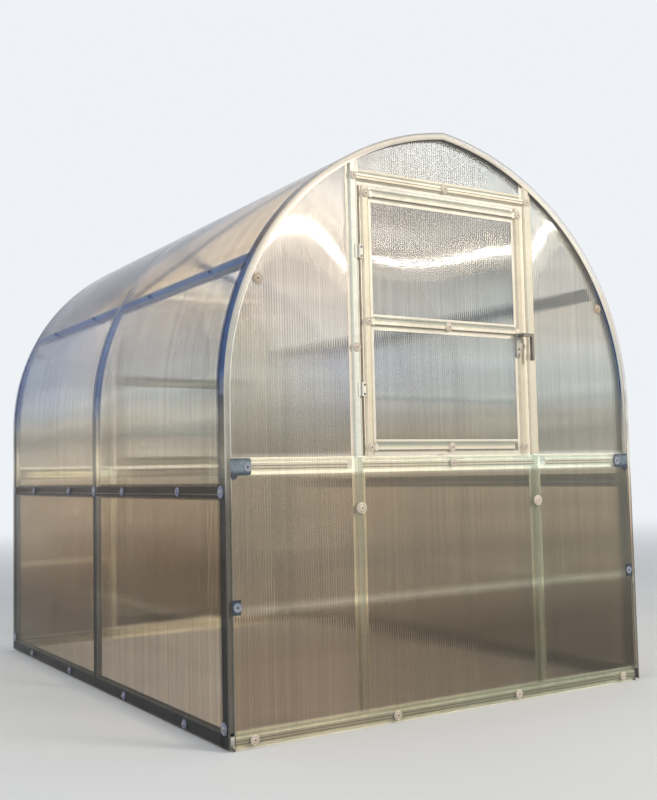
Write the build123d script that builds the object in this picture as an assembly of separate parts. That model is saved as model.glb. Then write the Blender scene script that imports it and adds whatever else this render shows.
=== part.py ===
from build123d import *
import math
import os

# Arched greenhouse, two bays long. Sizes are in millimetres and degrees.
# The origin is on the ground under the middle of the house. X runs across
# the gables, Y runs along the ridge and Z is up. The gable with the window
# faces -Y and the gable with the door faces +Y.

# Overall size
WIDTH = 2000.0
LENGTH = 2650.0
LEG_HEIGHT = 1210.0
SHOULDER_RADIUS = 1050.0
SHOULDER_SWEEP = 49.5
ROOF_RADIUS = 1200.0

# Hat shaped steel profiles: a broad one for the arches and the sides, and a
# shallow one for the gables. The web width is taken across the foot of the hat.
PROFILE_WIDTH = 60.0
ARCH_CROWN = 42.0
ARCH_WEB = 44.0
ARCH_DEPTH = 20.0
RAIL_CROWN = 22.0
RAIL_WEB = 38.0
RAIL_DEPTH = 12.0
STEEL = 1.5

# Twin-wall sheet
SHEET = 6.0
SHEET_FOOT = 6.0
SHEET_GAP = 3.0

# Heights of the rails, measured to the middle of the profile, and the drop from
# the ridge to the middle of the header
SIDE_RAIL_HEIGHT = 873.0
GABLE_RAIL_HEIGHT = 961.0
PURLIN_HEIGHT = 1713.0
HEADER_DROP = 231.0

# Gable posts, and the leaf that laps over them
POST_CENTRE = 439.5
LEAF_LAP = 6.0
LEAF_CLEARANCE = 3.0
SASH_RAIL_HEIGHT = 1500.0

# The crown of a gable rail stops short of the arch and of the post, and that of
# the foot rail of a leaf stops short of the stile with the handle
CROWN_STOP_ARCH = 55.0
CROWN_STOP_POST = 25.0
CROWN_STOP_STILE = 28.0

# Hinges
HINGE_HEIGHT = 52.0
HINGE_LEAF = 10.0
HINGE_PLATE = 3.0
HINGE_PIN = 9.0
WINDOW_HINGE_LOW = 1241.0
WINDOW_HINGE_HIGH = 1765.0
DOOR_HINGE_LOW = 250.0
DOOR_HINGE_HIGH = 800.0

# Crank handle
LATCH_WIDTH = 22.0
LATCH_HEIGHT = 100.0
LATCH_PLATE = 3.0
LATCH_STEP_DROP = 16.0
SPINDLE_REACH = 38.0
ARM_REACH = 46.0
GRIP_LENGTH = 104.0
GRIP_SIZE = 14.0
WINDOW_HANDLE_HEIGHT = 1447.0
DOOR_HANDLE_HEIGHT = 810.0

# Derived sizes
HALF_WIDTH = WIDTH / 2
HALF_LENGTH = LENGTH / 2
HALF_PROFILE = PROFILE_WIDTH / 2
FLANGE = (PROFILE_WIDTH - RAIL_WEB) / 2
SWEEP = math.radians(SHOULDER_SWEEP)
SHOULDER_X = SHOULDER_RADIUS - HALF_WIDTH
SHOULDER_Z = LEG_HEIGHT
RADIUS_STEP = ROOF_RADIUS - SHOULDER_RADIUS
ROOF_X = SHOULDER_X + RADIUS_STEP * math.cos(SWEEP)
ROOF_Z = SHOULDER_Z - RADIUS_STEP * math.sin(SWEEP)
RIDGE_HEIGHT = ROOF_Z + math.sqrt(ROOF_RADIUS**2 - ROOF_X**2)
HEADER_HEIGHT = RIDGE_HEIGHT - HEADER_DROP
FRAME_SIDE = HALF_WIDTH - SHEET
ARCH_BACK = SHEET + ARCH_DEPTH
GABLE_HALF = HALF_WIDTH - ARCH_BACK
POST_OUTER = POST_CENTRE + HALF_PROFILE
POST_INNER = POST_CENTRE - HALF_PROFILE
LEAF_HALF = POST_INNER + LEAF_LAP
LEAF_TOP = HEADER_HEIGHT - HALF_PROFILE - LEAF_CLEARANCE
WINDOW_FOOT = GABLE_RAIL_HEIGHT + HALF_PROFILE + LEAF_CLEARANCE
DOOR_FOOT = PROFILE_WIDTH + LEAF_CLEARANCE
DOOR_TOP = WINDOW_FOOT - LEAF_CLEARANCE
BAY_END = HALF_LENGTH - PROFILE_WIDTH
BAY_START = HALF_PROFILE

# Planes of the window gable, from the outside in. The lower sheet lies over the
# frame, the leaf laps over the flanges of the posts and the other sheets lie
# behind the frame.
LOWER_FACE = -HALF_LENGTH
FRAME_CROWN = LOWER_FACE + SHEET
FRAME_FLANGE = FRAME_CROWN + RAIL_DEPTH - STEEL
FRAME_BACK = FRAME_CROWN + RAIL_DEPTH
GABLE_BACK = FRAME_BACK + SHEET
LEAF_CROWN = FRAME_FLANGE - RAIL_DEPTH
LEAF_FLANGE = LEAF_CROWN + RAIL_DEPTH - STEEL


def half_outline(depth, foot):
    """Points on the left half of the house, at a depth in from the outside."""
    leg_x = depth - HALF_WIDTH
    near = SHOULDER_RADIUS - depth
    far = ROOF_RADIUS - depth
    middle = SWEEP / 2
    ridge_z = ROOF_Z + math.sqrt(far**2 - ROOF_X**2)
    ridge_angle = math.acos(ROOF_X / far)
    upper = (SWEEP + ridge_angle) / 2
    return {
        "foot": (leg_x, foot),
        "spring": (leg_x, LEG_HEIGHT),
        "low": (SHOULDER_X - near * math.cos(middle), SHOULDER_Z + near * math.sin(middle)),
        "join": (SHOULDER_X - near * math.cos(SWEEP), SHOULDER_Z + near * math.sin(SWEEP)),
        "high": (ROOF_X - far * math.cos(upper), ROOF_Z + far * math.sin(upper)),
        "ridge": (0.0, ridge_z),
    }


def outline_edges(points):
    """Edges from the foot to the ridge through the points of one outline."""
    leg = Line(points["foot"], points["spring"])
    shoulder = ThreePointArc(points["spring"], points["low"], points["join"])
    roof = ThreePointArc(points["join"], points["high"], points["ridge"])
    return [leg, shoulder, roof]


def both_sides(edges, y_from, y_to):
    """Solid between two Y planes from a left half outline and its mirror."""
    face = Plane.XZ * make_face(edges)
    half = extrude(face, amount=y_to - y_from, dir=(0, 1, 0))
    half = Pos(0, y_from, 0) * half
    return half + mirror(half, about=Plane.YZ)


def arch_band(outer, inner, foot, y_from, y_to):
    """Band over the house between two depths in and two Y planes."""
    outside = half_outline(outer, foot)
    inside = half_outline(inner, foot)
    edges = outline_edges(outside) + outline_edges(inside)
    edges.append(Line(outside["foot"], inside["foot"]))
    edges.append(Line(outside["ridge"], inside["ridge"]))
    return both_sides(edges, y_from, y_to)


def gable_plate(depth, foot, y_from, y_to):
    """Plate that fills the outline from a depth in, between two Y planes."""
    outside = half_outline(depth, foot)
    edges = outline_edges(outside)
    edges.append(Line(outside["ridge"], (0.0, foot)))
    edges.append(Line((0.0, foot), outside["foot"]))
    return both_sides(edges, y_from, y_to)


def box_between(x_from, x_to, y_from, y_to, z_from, z_to):
    """Box between six planes."""
    box = Box(x_to - x_from, y_to - y_from, z_to - z_from)
    middle = ((x_from + x_to) / 2, (y_from + y_to) / 2, (z_from + z_to) / 2)
    return Pos(*middle) * box


def hat_section(crown_width, web_width, deep):
    """Section of a profile on the XY plane, its crown on Y=0, flanges on +Y."""
    wide = HALF_PROFILE
    crown = crown_width / 2
    run = (web_width - crown_width) / 2
    lean = run / deep
    skin = STEEL * math.sqrt(1 + lean**2)
    web_top = crown + lean * STEEL - skin
    web_foot = crown + run - skin
    flange_start = crown + lean * (deep - STEEL)
    outline = Polyline(
        (-wide, deep),
        (-web_foot, deep),
        (-web_top, STEEL),
        (web_top, STEEL),
        (web_foot, deep),
        (wide, deep),
        (wide, deep - STEEL),
        (flange_start, deep - STEEL),
        (crown, 0.0),
        (-crown, 0.0),
        (-flange_start, deep - STEEL),
        (-wide, deep - STEEL),
        close=True,
    )
    return make_face(outline)


def broad_bar(length):
    """Straight broad profile along Z from 0, its crown on Y=0."""
    section = hat_section(ARCH_CROWN, ARCH_WEB, ARCH_DEPTH)
    return extrude(section, amount=length, dir=(0, 0, 1))


def shallow_bar(length):
    """Straight shallow profile along Z from 0, its crown on Y=0."""
    section = hat_section(RAIL_CROWN, RAIL_WEB, RAIL_DEPTH)
    return extrude(section, amount=length, dir=(0, 0, 1))


def shallow_block(x_centre, z_from, z_to, y_crown):
    """Solid block with the outer form of a shallow profile that stands upright."""
    lean = (RAIL_WEB - RAIL_CROWN) / 2 / RAIL_DEPTH
    slope_foot = RAIL_CROWN / 2 + lean * (RAIL_DEPTH - STEEL)
    outline = Polyline(
        (-HALF_PROFILE, RAIL_DEPTH),
        (-HALF_PROFILE, RAIL_DEPTH - STEEL),
        (-slope_foot, RAIL_DEPTH - STEEL),
        (-RAIL_CROWN / 2, 0.0),
        (RAIL_CROWN / 2, 0.0),
        (slope_foot, RAIL_DEPTH - STEEL),
        (HALF_PROFILE, RAIL_DEPTH - STEEL),
        (HALF_PROFILE, RAIL_DEPTH),
        close=True,
    )
    block = extrude(make_face(outline), amount=z_to - z_from, dir=(0, 0, 1))
    return Pos(x_centre, y_crown, z_from) * block


def arch_profile(foot, y_centre):
    """Broad profile bent over the house, crown outwards, from a foot height up."""
    upright_section = Rot(0, 0, -90) * hat_section(ARCH_CROWN, ARCH_WEB, ARCH_DEPTH)
    leg = extrude(upright_section, amount=LEG_HEIGHT - foot, dir=(0, 0, 1))
    leg = Pos(-FRAME_SIDE, y_centre, foot) * leg
    spring = Pos(-FRAME_SIDE, y_centre, LEG_HEIGHT) * upright_section
    shoulder_axis = Axis((SHOULDER_X, 0, SHOULDER_Z), (0, 1, 0))
    shoulder = revolve(spring, axis=shoulder_axis, revolution_arc=SHOULDER_SWEEP)
    join = spring.rotate(shoulder_axis, SHOULDER_SWEEP)
    roof_axis = Axis((ROOF_X, 0, ROOF_Z), (0, 1, 0))
    roof = revolve(join, axis=roof_axis, revolution_arc=90 - SHOULDER_SWEEP)
    left_half = box_between(-WIDTH, 0.0, -LENGTH, LENGTH, 0.0, 2 * RIDGE_HEIGHT)
    half = (leg + shoulder + roof) & left_half
    return half + mirror(half, about=Plane.YZ)


def upright(x_centre, z_from, z_to, y_crown):
    """Shallow profile standing upright on the window gable, crown facing out."""
    return Pos(x_centre, y_crown, z_from) * shallow_bar(z_to - z_from)


def crossbar(z_centre, x_from, x_to, y_crown):
    """Shallow profile lying across the window gable, crown facing out."""
    bar = Rot(0, 90, 0) * shallow_bar(x_to - x_from)
    return Pos(x_from, y_crown, z_centre) * bar


def coped_bar(z_centre, x_upright, y_crown):
    """Crossbar between two uprights, cut to the form of both: its flanges end at
    theirs and its crown runs on to their slopes."""
    bar = crossbar(z_centre, -x_upright, x_upright, y_crown)
    block = shallow_block(x_upright, z_centre - PROFILE_WIDTH, z_centre + PROFILE_WIDTH, y_crown)
    return bar - block - right_of(block)


def side_bar(angle, x_crown, z_crown, y_from, y_to):
    """Broad profile along Y on the left side, its crown turned up by an angle."""
    bar = Rot(90, 0, 0) * broad_bar(y_to - y_from)
    bar = Rot(0, 90, 0) * bar
    bar = Rot(0, angle, 0) * bar
    return Pos(x_crown, y_to, z_crown) * bar


def right_of(solid):
    """The same piece on the right side of the house."""
    return mirror(solid, about=Plane.YZ)


def rear_of(solid):
    """The same piece on the door gable."""
    return mirror(solid, about=Plane.XZ)


parts = {}

# Arches, standing on the base rails
for name, y_centre in (
    ("arch_front", HALF_PROFILE - HALF_LENGTH),
    ("arch_middle", 0.0),
    ("arch_rear", HALF_LENGTH - HALF_PROFILE),
):
    parts[name] = arch_profile(PROFILE_WIDTH, y_centre)

# Base rails: one along each side and one under each gable
base_left = side_bar(0.0, -FRAME_SIDE, HALF_PROFILE, -HALF_LENGTH, HALF_LENGTH)
base_front = crossbar(HALF_PROFILE, -GABLE_HALF, GABLE_HALF, FRAME_CROWN)
parts["base_rail_left"] = base_left
parts["base_rail_right"] = right_of(base_left)
parts["base_rail_front"] = base_front
parts["base_rail_rear"] = rear_of(base_front)

# Side rails between the arches
side_rail = side_bar(0.0, -FRAME_SIDE, SIDE_RAIL_HEIGHT, -BAY_END, -BAY_START)
parts["side_rail_left_front"] = side_rail
parts["side_rail_left_rear"] = rear_of(side_rail)
parts["side_rail_right_front"] = right_of(side_rail)
parts["side_rail_right_rear"] = rear_of(right_of(side_rail))

# Purlins at the shoulders, square to the roof. The sheet is curved over them, so
# it rests on the two edges of their crown
purlin_angle = math.asin((PURLIN_HEIGHT - SHOULDER_Z) / SHOULDER_RADIUS)
sheet_radius = SHOULDER_RADIUS - SHEET
crown_radius = math.sqrt(sheet_radius**2 - (ARCH_CROWN / 2) ** 2)
purlin_x = SHOULDER_X - crown_radius * math.cos(purlin_angle)
purlin_z = SHOULDER_Z + crown_radius * math.sin(purlin_angle)
purlin = side_bar(math.degrees(purlin_angle), purlin_x, purlin_z, -BAY_END, -BAY_START)
parts["purlin_left_front"] = purlin
parts["purlin_left_rear"] = rear_of(purlin)
parts["purlin_right_front"] = right_of(purlin)
parts["purlin_right_rear"] = rear_of(right_of(purlin))

# Bent sheets over the arches, one to each bay, from the ground over the ridge to
# the ground
roof_sheet = arch_band(0.0, SHEET, SHEET_FOOT, -HALF_LENGTH, -SHEET_GAP / 2)
parts["roof_sheet_front"] = roof_sheet
parts["roof_sheet_rear"] = rear_of(roof_sheet)

# Gable posts, from the base rail to the flange of the arch over them
under_arch = gable_plate(ARCH_BACK, PROFILE_WIDTH, LOWER_FACE, 0.0)
post_left = upright(-POST_CENTRE, PROFILE_WIDTH, RIDGE_HEIGHT, FRAME_CROWN) & under_arch
parts["front_post_left"] = post_left
parts["front_post_right"] = right_of(post_left)
parts["rear_post_left"] = rear_of(post_left)
parts["rear_post_right"] = rear_of(right_of(post_left))

# Rails and headers on the gables
rail_left = crossbar(GABLE_RAIL_HEIGHT, -GABLE_HALF, -POST_OUTER, FRAME_CROWN)
rail_low = GABLE_RAIL_HEIGHT - HALF_PROFILE
rail_high = GABLE_RAIL_HEIGHT + HALF_PROFILE
arch_stop = -GABLE_HALF + CROWN_STOP_ARCH
post_stop = -POST_OUTER - CROWN_STOP_POST
rail_left -= box_between(-WIDTH, arch_stop, FRAME_CROWN, FRAME_FLANGE, rail_low, rail_high)
rail_left -= box_between(post_stop, 0.0, FRAME_CROWN, FRAME_FLANGE, rail_low, rail_high)
rail_centre = coped_bar(GABLE_RAIL_HEIGHT, POST_CENTRE, FRAME_CROWN)
header = coped_bar(HEADER_HEIGHT, POST_CENTRE, FRAME_CROWN)
parts["front_mid_rail_left"] = rail_left
parts["front_mid_rail_centre"] = rail_centre
parts["front_mid_rail_right"] = right_of(rail_left)
parts["front_header"] = header
parts["rear_mid_rail_left"] = rear_of(rail_left)
parts["rear_mid_rail_right"] = rear_of(right_of(rail_left))
parts["rear_header"] = rear_of(header)

# Lower sheet of the window gable, over the frame, from the ground past the rail
lower_top = GABLE_RAIL_HEIGHT + HALF_PROFILE - SHEET_GAP
lower_plate = gable_plate(ARCH_BACK, SHEET_FOOT, LOWER_FACE, FRAME_CROWN)
lower_area = box_between(-WIDTH, WIDTH, -LENGTH, 0.0, 0.0, lower_top)
parts["front_sheet_lower"] = lower_plate & lower_area

# Sheets behind the frame: one over the header and one to each side. Those on the
# door gable reach to the ground
back_edge = POST_CENTRE + SHEET_GAP / 2
top_half = POST_CENTRE - SHEET_GAP / 2
back_plate = gable_plate(ARCH_BACK, SHEET_FOOT, FRAME_BACK, GABLE_BACK)
long_area = box_between(-WIDTH, -back_edge, -LENGTH, 0.0, 0.0, RIDGE_HEIGHT)
short_area = box_between(-WIDTH, -back_edge, -LENGTH, 0.0, GABLE_RAIL_HEIGHT, RIDGE_HEIGHT)
top_area = box_between(-top_half, top_half, -LENGTH, 0.0, HEADER_HEIGHT, RIDGE_HEIGHT)
short_side = back_plate & short_area
long_side = back_plate & long_area
over_header = back_plate & top_area
parts["front_sheet_left"] = short_side
parts["front_sheet_right"] = right_of(short_side)
parts["front_sheet_top"] = over_header
parts["rear_sheet_left"] = rear_of(long_side)
parts["rear_sheet_right"] = rear_of(right_of(long_side))
parts["rear_sheet_top"] = rear_of(over_header)


def leaf_frame(foot, top, middle_rails):
    """Frame of a leaf: two stiles, with a rail at the foot, one at the top and any others."""
    stile_x = LEAF_HALF - HALF_PROFILE
    stile = upright(stile_x, foot, top, LEAF_CROWN)
    frame = stile + right_of(stile)
    for height in (*middle_rails, top - HALF_PROFILE):
        frame += coped_bar(height, stile_x, LEAF_CROWN)
    crown_end = LEAF_HALF - PROFILE_WIDTH - CROWN_STOP_STILE
    foot_rail = coped_bar(foot + HALF_PROFILE, stile_x, LEAF_CROWN)
    rail_top = foot + PROFILE_WIDTH
    foot_rail -= box_between(crown_end, stile_x, LEAF_CROWN, LEAF_FLANGE, foot, rail_top)
    return frame + foot_rail


def leaf_pane(foot, top):
    """Sheet of a leaf, behind the flanges of its frame."""
    edge = POST_INNER - LEAF_CLEARANCE
    margin = LEAF_HALF - edge
    back = FRAME_FLANGE + SHEET
    return box_between(-edge, edge, FRAME_FLANGE, back, foot + margin, top - margin)


def hinge(height):
    """Hinge from the crown of the left post to the left stile of a leaf."""
    z_from = height - HINGE_HEIGHT / 2
    z_to = height + HINGE_HEIGHT / 2
    x_post = -POST_CENTRE + RAIL_CROWN / 2
    x_stile = -LEAF_HALF
    y_front = FRAME_CROWN - HINGE_PLATE
    y_pin = LEAF_CROWN - HINGE_PIN / 2
    plate = box_between(x_post - HINGE_LEAF, x_stile, y_front, FRAME_CROWN, z_from, z_to)
    block = box_between(x_stile, x_stile + FLANGE, y_front, LEAF_FLANGE, z_from, z_to)
    pin = Cylinder(HINGE_PIN / 2, HINGE_HEIGHT, align=(Align.CENTER, Align.CENTER, Align.MIN))
    return plate + block + Pos((x_post + x_stile) / 2, y_pin, z_from) * pin


def crank_handle(height):
    """Latch on the inner flange of the right stile with a crank and a grip."""
    x_left = LEAF_HALF - PROFILE_WIDTH
    x_step = x_left + FLANGE
    x_right = x_left + LATCH_WIDTH
    y_plate = LEAF_CROWN - LATCH_PLATE
    z_top = height + LATCH_HEIGHT / 2
    z_foot = height - LATCH_HEIGHT / 2
    half = GRIP_SIZE / 2
    z_arm = z_top - GRIP_SIZE
    x_arm = (x_left + x_right) / 2
    y_arm = y_plate - SPINDLE_REACH
    x_grip = x_arm + ARM_REACH
    z_grip = z_arm - GRIP_LENGTH
    z_step = z_top - LATCH_STEP_DROP
    handle = box_between(x_left, x_step, LEAF_CROWN, LEAF_FLANGE, z_foot, z_step)
    handle += box_between(x_left, x_right, y_plate, LEAF_CROWN, z_foot, z_top)
    handle += box_between(x_arm - half, x_arm + half, y_arm, y_plate, z_arm - half, z_arm + half)
    y_back = y_arm + GRIP_SIZE
    handle += box_between(x_arm, x_grip + half, y_arm, y_back, z_arm - half, z_arm + half)
    handle += box_between(x_grip - half, x_grip + half, y_arm, y_back, z_grip, z_arm)
    edges = handle.edges().filter_by(Axis.Z).group_by(Axis.X)[-1]
    return fillet(edges, GRIP_SIZE / 3)


# Window leaf in the front gable
window = {
    "frame": leaf_frame(WINDOW_FOOT, LEAF_TOP, [SASH_RAIL_HEIGHT]),
    "pane": leaf_pane(WINDOW_FOOT, LEAF_TOP),
    "hinge_lower": hinge(WINDOW_HINGE_LOW),
    "hinge_upper": hinge(WINDOW_HINGE_HIGH),
    "handle": crank_handle(WINDOW_HANDLE_HEIGHT),
}

# Lower leaf of the door in the rear gable. The upper one is like the window
door = {
    "frame": leaf_frame(DOOR_FOOT, DOOR_TOP, []),
    "pane": leaf_pane(DOOR_FOOT, DOOR_TOP),
    "hinge_lower": hinge(DOOR_HINGE_LOW),
    "hinge_upper": hinge(DOOR_HINGE_HIGH),
    "handle": crank_handle(DOOR_HANDLE_HEIGHT),
}
for piece in window:
    parts["window_" + piece] = window[piece]
    parts["upper_door_" + piece] = rear_of(window[piece])
    parts["door_" + piece] = rear_of(door[piece])

os.makedirs("parts", exist_ok=True)
for name, solid in parts.items():
    export_step(solid, "parts/" + name + ".step")
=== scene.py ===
"""Looks of an arched greenhouse: twin-wall sheets, zinc coated profiles and their fixings.

Everything is in metres, in the frame of the model: X across the gables, Y along the
ridge and Z up, with the window gable facing -Y.
"""

import math

import bmesh
import bpy
from mathutils import Matrix, Vector


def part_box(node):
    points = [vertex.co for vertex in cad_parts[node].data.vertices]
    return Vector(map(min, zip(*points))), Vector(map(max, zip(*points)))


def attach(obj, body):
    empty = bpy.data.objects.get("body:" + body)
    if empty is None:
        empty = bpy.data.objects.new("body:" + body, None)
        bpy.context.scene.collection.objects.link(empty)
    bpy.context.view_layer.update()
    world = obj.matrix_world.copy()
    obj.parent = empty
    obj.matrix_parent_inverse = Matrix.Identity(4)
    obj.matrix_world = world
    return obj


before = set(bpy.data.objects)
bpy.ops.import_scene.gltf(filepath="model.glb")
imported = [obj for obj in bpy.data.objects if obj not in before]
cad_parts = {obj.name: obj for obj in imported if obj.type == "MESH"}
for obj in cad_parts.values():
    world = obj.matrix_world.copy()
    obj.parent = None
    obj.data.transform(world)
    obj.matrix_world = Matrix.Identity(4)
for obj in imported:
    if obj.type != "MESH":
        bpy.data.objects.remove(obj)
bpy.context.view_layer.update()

BODY = "root"

# Photograph and the camera that was fitted to it
IMAGE_HEIGHT = 800
FOCAL_PIXELS = 1038.6
CAMERA_PLACE = Vector((-2.587, -4.536, 0.929))
CAMERA_YAW = math.radians(32.08)
CAMERA_PITCH = math.radians(4.056)
CAMERA_ROLL = math.radians(1.269)
SENSOR = 36.0
SIGHT = 400.0

# Arch: straight legs up to the spring, then the shoulders. Its inner face lies
# ARCH_BACK in from the outside of the sheet, and its narrow side past ARCH_STRIP
SPRING_HEIGHT = 1.21
SHOULDER_RADIUS = 1.05
ARCH_BACK = 0.026
ARCH_STRIP = 1.3158

# Rolled bars, and what the leaves have that is no node of its own
RAIL_HALF = 0.030
SASH_RAIL_Z = 1.5
LATCH_PLATE_FRONT = 1.3245


# Places read from the frame

def middle(node):
    """Middle of a piece of the model."""
    low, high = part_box(node)
    return (Vector(low) + Vector(high)) / 2


def end_rails(leaf):
    """Heights of the bottom and the top rail of a leaf frame."""
    low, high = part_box(leaf)
    return [low[2] + RAIL_HALF, high[2] - RAIL_HALF]


HALF_WIDTH, _, RIDGE_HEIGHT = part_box("roof_sheet_front")[1]
FRAME_FACE, FRAME_BACK = (corner[1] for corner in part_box("front_header"))
LEAF_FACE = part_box("window_frame")[0][1]
LOWER_SHEET_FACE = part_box("front_sheet_lower")[0][1]
SIDE_SHEET_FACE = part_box("front_sheet_left")[0][1]
POST_X = middle("front_post_right").x
STILE_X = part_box("window_frame")[1][0] - RAIL_HALF
BASE_RAIL_Z = middle("base_rail_front").z
MID_RAIL_Z = middle("front_mid_rail_centre").z
HEADER_Z = middle("front_header").z
SIDE_RAIL_Z = middle("side_rail_left_front").z
WINDOW_BOTTOM_Z, WINDOW_TOP_Z = end_rails("window_frame")
DOOR_RAILS = end_rails("door_frame")

# What faces into the house is told apart by its place, with this much to spare
ARCH_MARGIN = 0.0005
FRAME_MARGIN = 0.0008
# Just above the mid rails, where the steel behind the lower sheet ends
SHELTER_TOP = MID_RAIL_Z + RAIL_HALF + 0.001


# Shader helpers

WHITE = (1.0, 1.0, 1.0)
EVEN = (1.0, 1.0, 1.0)
# Most of a noise, and of the wear made of it, lies between these
NOISE = (0.3, 0.7)
WEAR = (0.25, 0.75)
# Sockets of a mix node that mixes colours: its factor and the two colours, and the result
MIX_INPUTS = (0, 6, 7)
MIX_RESULT = 2
# How far a noise moves along each axis from one seed to the next
SEED_STEPS = (1.0, 0.7, 1.3)
GRAIN_DEPTH = 0.0002


class Field:
    """A number that varies over a surface. Arithmetic on it makes math nodes."""

    def __init__(self, shader, socket):
        self.shader = shader
        self.socket = socket

    def math(self, operation, first, second=0.0):
        node = self.shader.node("Math", operation=operation)
        self.shader.feed(node.inputs[0], first)
        self.shader.feed(node.inputs[1], second)
        return Field(self.shader, node.outputs[0])

    def __add__(self, other):
        return self.math("ADD", self, other)

    def __sub__(self, other):
        return self.math("SUBTRACT", self, other)

    def __rsub__(self, other):
        return self.math("SUBTRACT", other, self)

    def __mul__(self, other):
        return self.math("MULTIPLY", self, other)

    def __truediv__(self, other):
        return self.math("DIVIDE", self, other)

    def __pow__(self, other):
        return self.math("POWER", self, other)

    def __abs__(self):
        return self.math("ABSOLUTE", self)

    def __lt__(self, other):
        """1 where the number is below the other, and 0 elsewhere."""
        return self.math("LESS_THAN", self, other)

    def __gt__(self, other):
        return self.math("GREATER_THAN", self, other)

    def at_least(self, other):
        return self.math("MAXIMUM", self, other)

    def root(self):
        return self.math("SQRT", self)

    def sine(self):
        return self.math("SINE", self)

    def cosine(self):
        return self.math("COSINE", self)

    def exponent(self):
        return self.math("EXPONENT", self)

    def span(self, low, high, to_low=0.0, to_high=1.0):
        """The number's range low to high, turned into to_low to to_high and held there."""
        node = self.shader.node("MapRange")
        names = ("Value", "From Min", "From Max", "To Min", "To Max")
        for name, value in zip(names, (self, low, high, to_low, to_high)):
            self.shader.feed(node.inputs[name], value)
        return Field(self.shader, node.outputs[0])

    def ramp(self, *stops):
        """The colour at the number, from (position, colour) stops."""
        node = self.shader.node("ValToRGB")
        elements = node.color_ramp.elements
        while len(elements) < len(stops):
            elements.new(0.5)
        for element, (position, colour) in zip(elements, stops):
            element.position = position
            element.color = (*colour, 1.0)
        self.shader.feed(node.inputs[0], self)
        return node.outputs[0]

    def blend(self, tones, reach=WEAR):
        """The colour between a dark and a light tone, across the reach of the number."""
        return self.ramp(*zip(reach, tones))


class Shader:
    """A node material that is built from the inputs of its principled shader back."""

    def __init__(self, name):
        self.material = bpy.data.materials.new(name)
        self.material.use_nodes = True
        self.tree = self.material.node_tree
        self.tree.nodes.clear()
        self.output = self.node("OutputMaterial")
        self.principled = self.node("BsdfPrincipled")
        self.feed(self.output.inputs["Surface"], self.principled.outputs[0])

    def node(self, kind, **settings):
        made = self.tree.nodes.new("ShaderNode" + kind)
        for key, value in settings.items():
            setattr(made, key, value)
        return made

    def feed(self, target, value):
        """Gives an input a number, a vector or a colour, or what another node puts out."""
        if isinstance(value, Field):
            value = value.socket
        if isinstance(value, bpy.types.NodeSocket):
            self.tree.links.new(value, target)
        elif isinstance(value, tuple) and target.type == "RGBA":
            target.default_value = (*value, 1.0)
        else:
            target.default_value = value

    def into(self, name, value):
        self.feed(self.principled.inputs[name], value)

    def set(self, **values):
        """Uniform values, straight on the sockets of the principled shader."""
        for key, value in values.items():
            name = key.replace("_", " ").title().replace("Ior", "IOR")
            self.principled.inputs[name].default_value = value

    def place(self):
        """Coordinates on the object, which are the coordinates of the model."""
        return self.node("TexCoord").outputs["Object"]

    def axes(self, vector=None):
        """The three parts of a vector, or of the place on the object without one."""
        parts = self.node("SeparateXYZ")
        self.feed(parts.inputs[0], self.place() if vector is None else vector)
        return [Field(self, socket) for socket in parts.outputs]

    def noise(self, stretch=EVEN, scale=1.0, detail=3.0, roughness=0.55, seed=0.0):
        """Noise over the object, with its cells stretched by a scale for each axis."""
        mapping = self.node("Mapping")
        self.feed(mapping.inputs["Vector"], self.place())
        self.feed(mapping.inputs["Location"], tuple(seed * step for step in SEED_STEPS))
        self.feed(mapping.inputs["Scale"], stretch)
        texture = self.node("TexNoise")
        self.feed(texture.inputs["Vector"], mapping.outputs[0])
        for name, value in (("Scale", scale), ("Detail", detail), ("Roughness", roughness)):
            self.feed(texture.inputs[name], value)
        return Field(self, texture.outputs[0])

    def mix(self, factor, first, second, blend="MIX"):
        made = self.node("Mix", data_type="RGBA", blend_type=blend)
        for index, value in zip(MIX_INPUTS, (factor, first, second)):
            self.feed(made.inputs[index], value)
        return made.outputs[MIX_RESULT]

    def tinted(self, colour, tint, amount=None):
        """The colour times the tint, or times a part of it where an amount is given."""
        if amount is not None:
            tint = self.mix(amount, WHITE, tint)
        return self.mix(1.0, colour, tint, blend="MULTIPLY")

    def scaled(self, vector, factor):
        """A vector or a colour times a number."""
        made = self.node("VectorMath", operation="SCALE")
        self.feed(made.inputs[0], vector)
        self.feed(made.inputs["Scale"], factor)
        return made.outputs[0]

    def leaned(self, *leans):
        """The surface's normal with the leans added to it."""
        normal = self.node("NewGeometry").outputs["Normal"]
        for lean in leans:
            total = self.node("VectorMath", operation="ADD")
            self.feed(total.inputs[0], normal)
            self.feed(total.inputs[1], lean)
            normal = total.outputs[0]
        unit = self.node("VectorMath", operation="NORMALIZE")
        self.feed(unit.inputs[0], normal)
        return unit.outputs[0]

    def grain(self, fineness, scale, detail, seed, strength):
        """Fine bumps all over."""
        made = self.node("Bump")
        height = self.noise(stretch=(fineness,) * 3, scale=scale, detail=detail, seed=seed)
        self.feed(made.inputs["Height"], height)
        self.feed(made.inputs["Distance"], GRAIN_DEPTH)
        self.feed(made.inputs["Strength"], strength)
        self.into("Normal", made.outputs[0])


def arch_inset(x, z):
    """How far a place is in from the outside of the legs and shoulders."""
    over = (z - SPRING_HEIGHT).at_least(0.0)
    reach = abs(x) + (SHOULDER_RADIUS - HALF_WIDTH)
    return SHOULDER_RADIUS - (reach ** 2.0 + over ** 2.0).root()


def by_height(z, tints):
    """The colour at a height, from (height, colour) stops."""
    return (z / RIDGE_HEIGHT).ramp(*((height / RIDGE_HEIGHT, colour) for height, colour in tints))


def with_axis(scales, axis, scale):
    """The scales of the three axes, with another one for the axis."""
    return (*scales[:axis], scale, *scales[axis + 1:])


# Twin-wall sheets

FLUTE_PITCH = 0.0105
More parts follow.
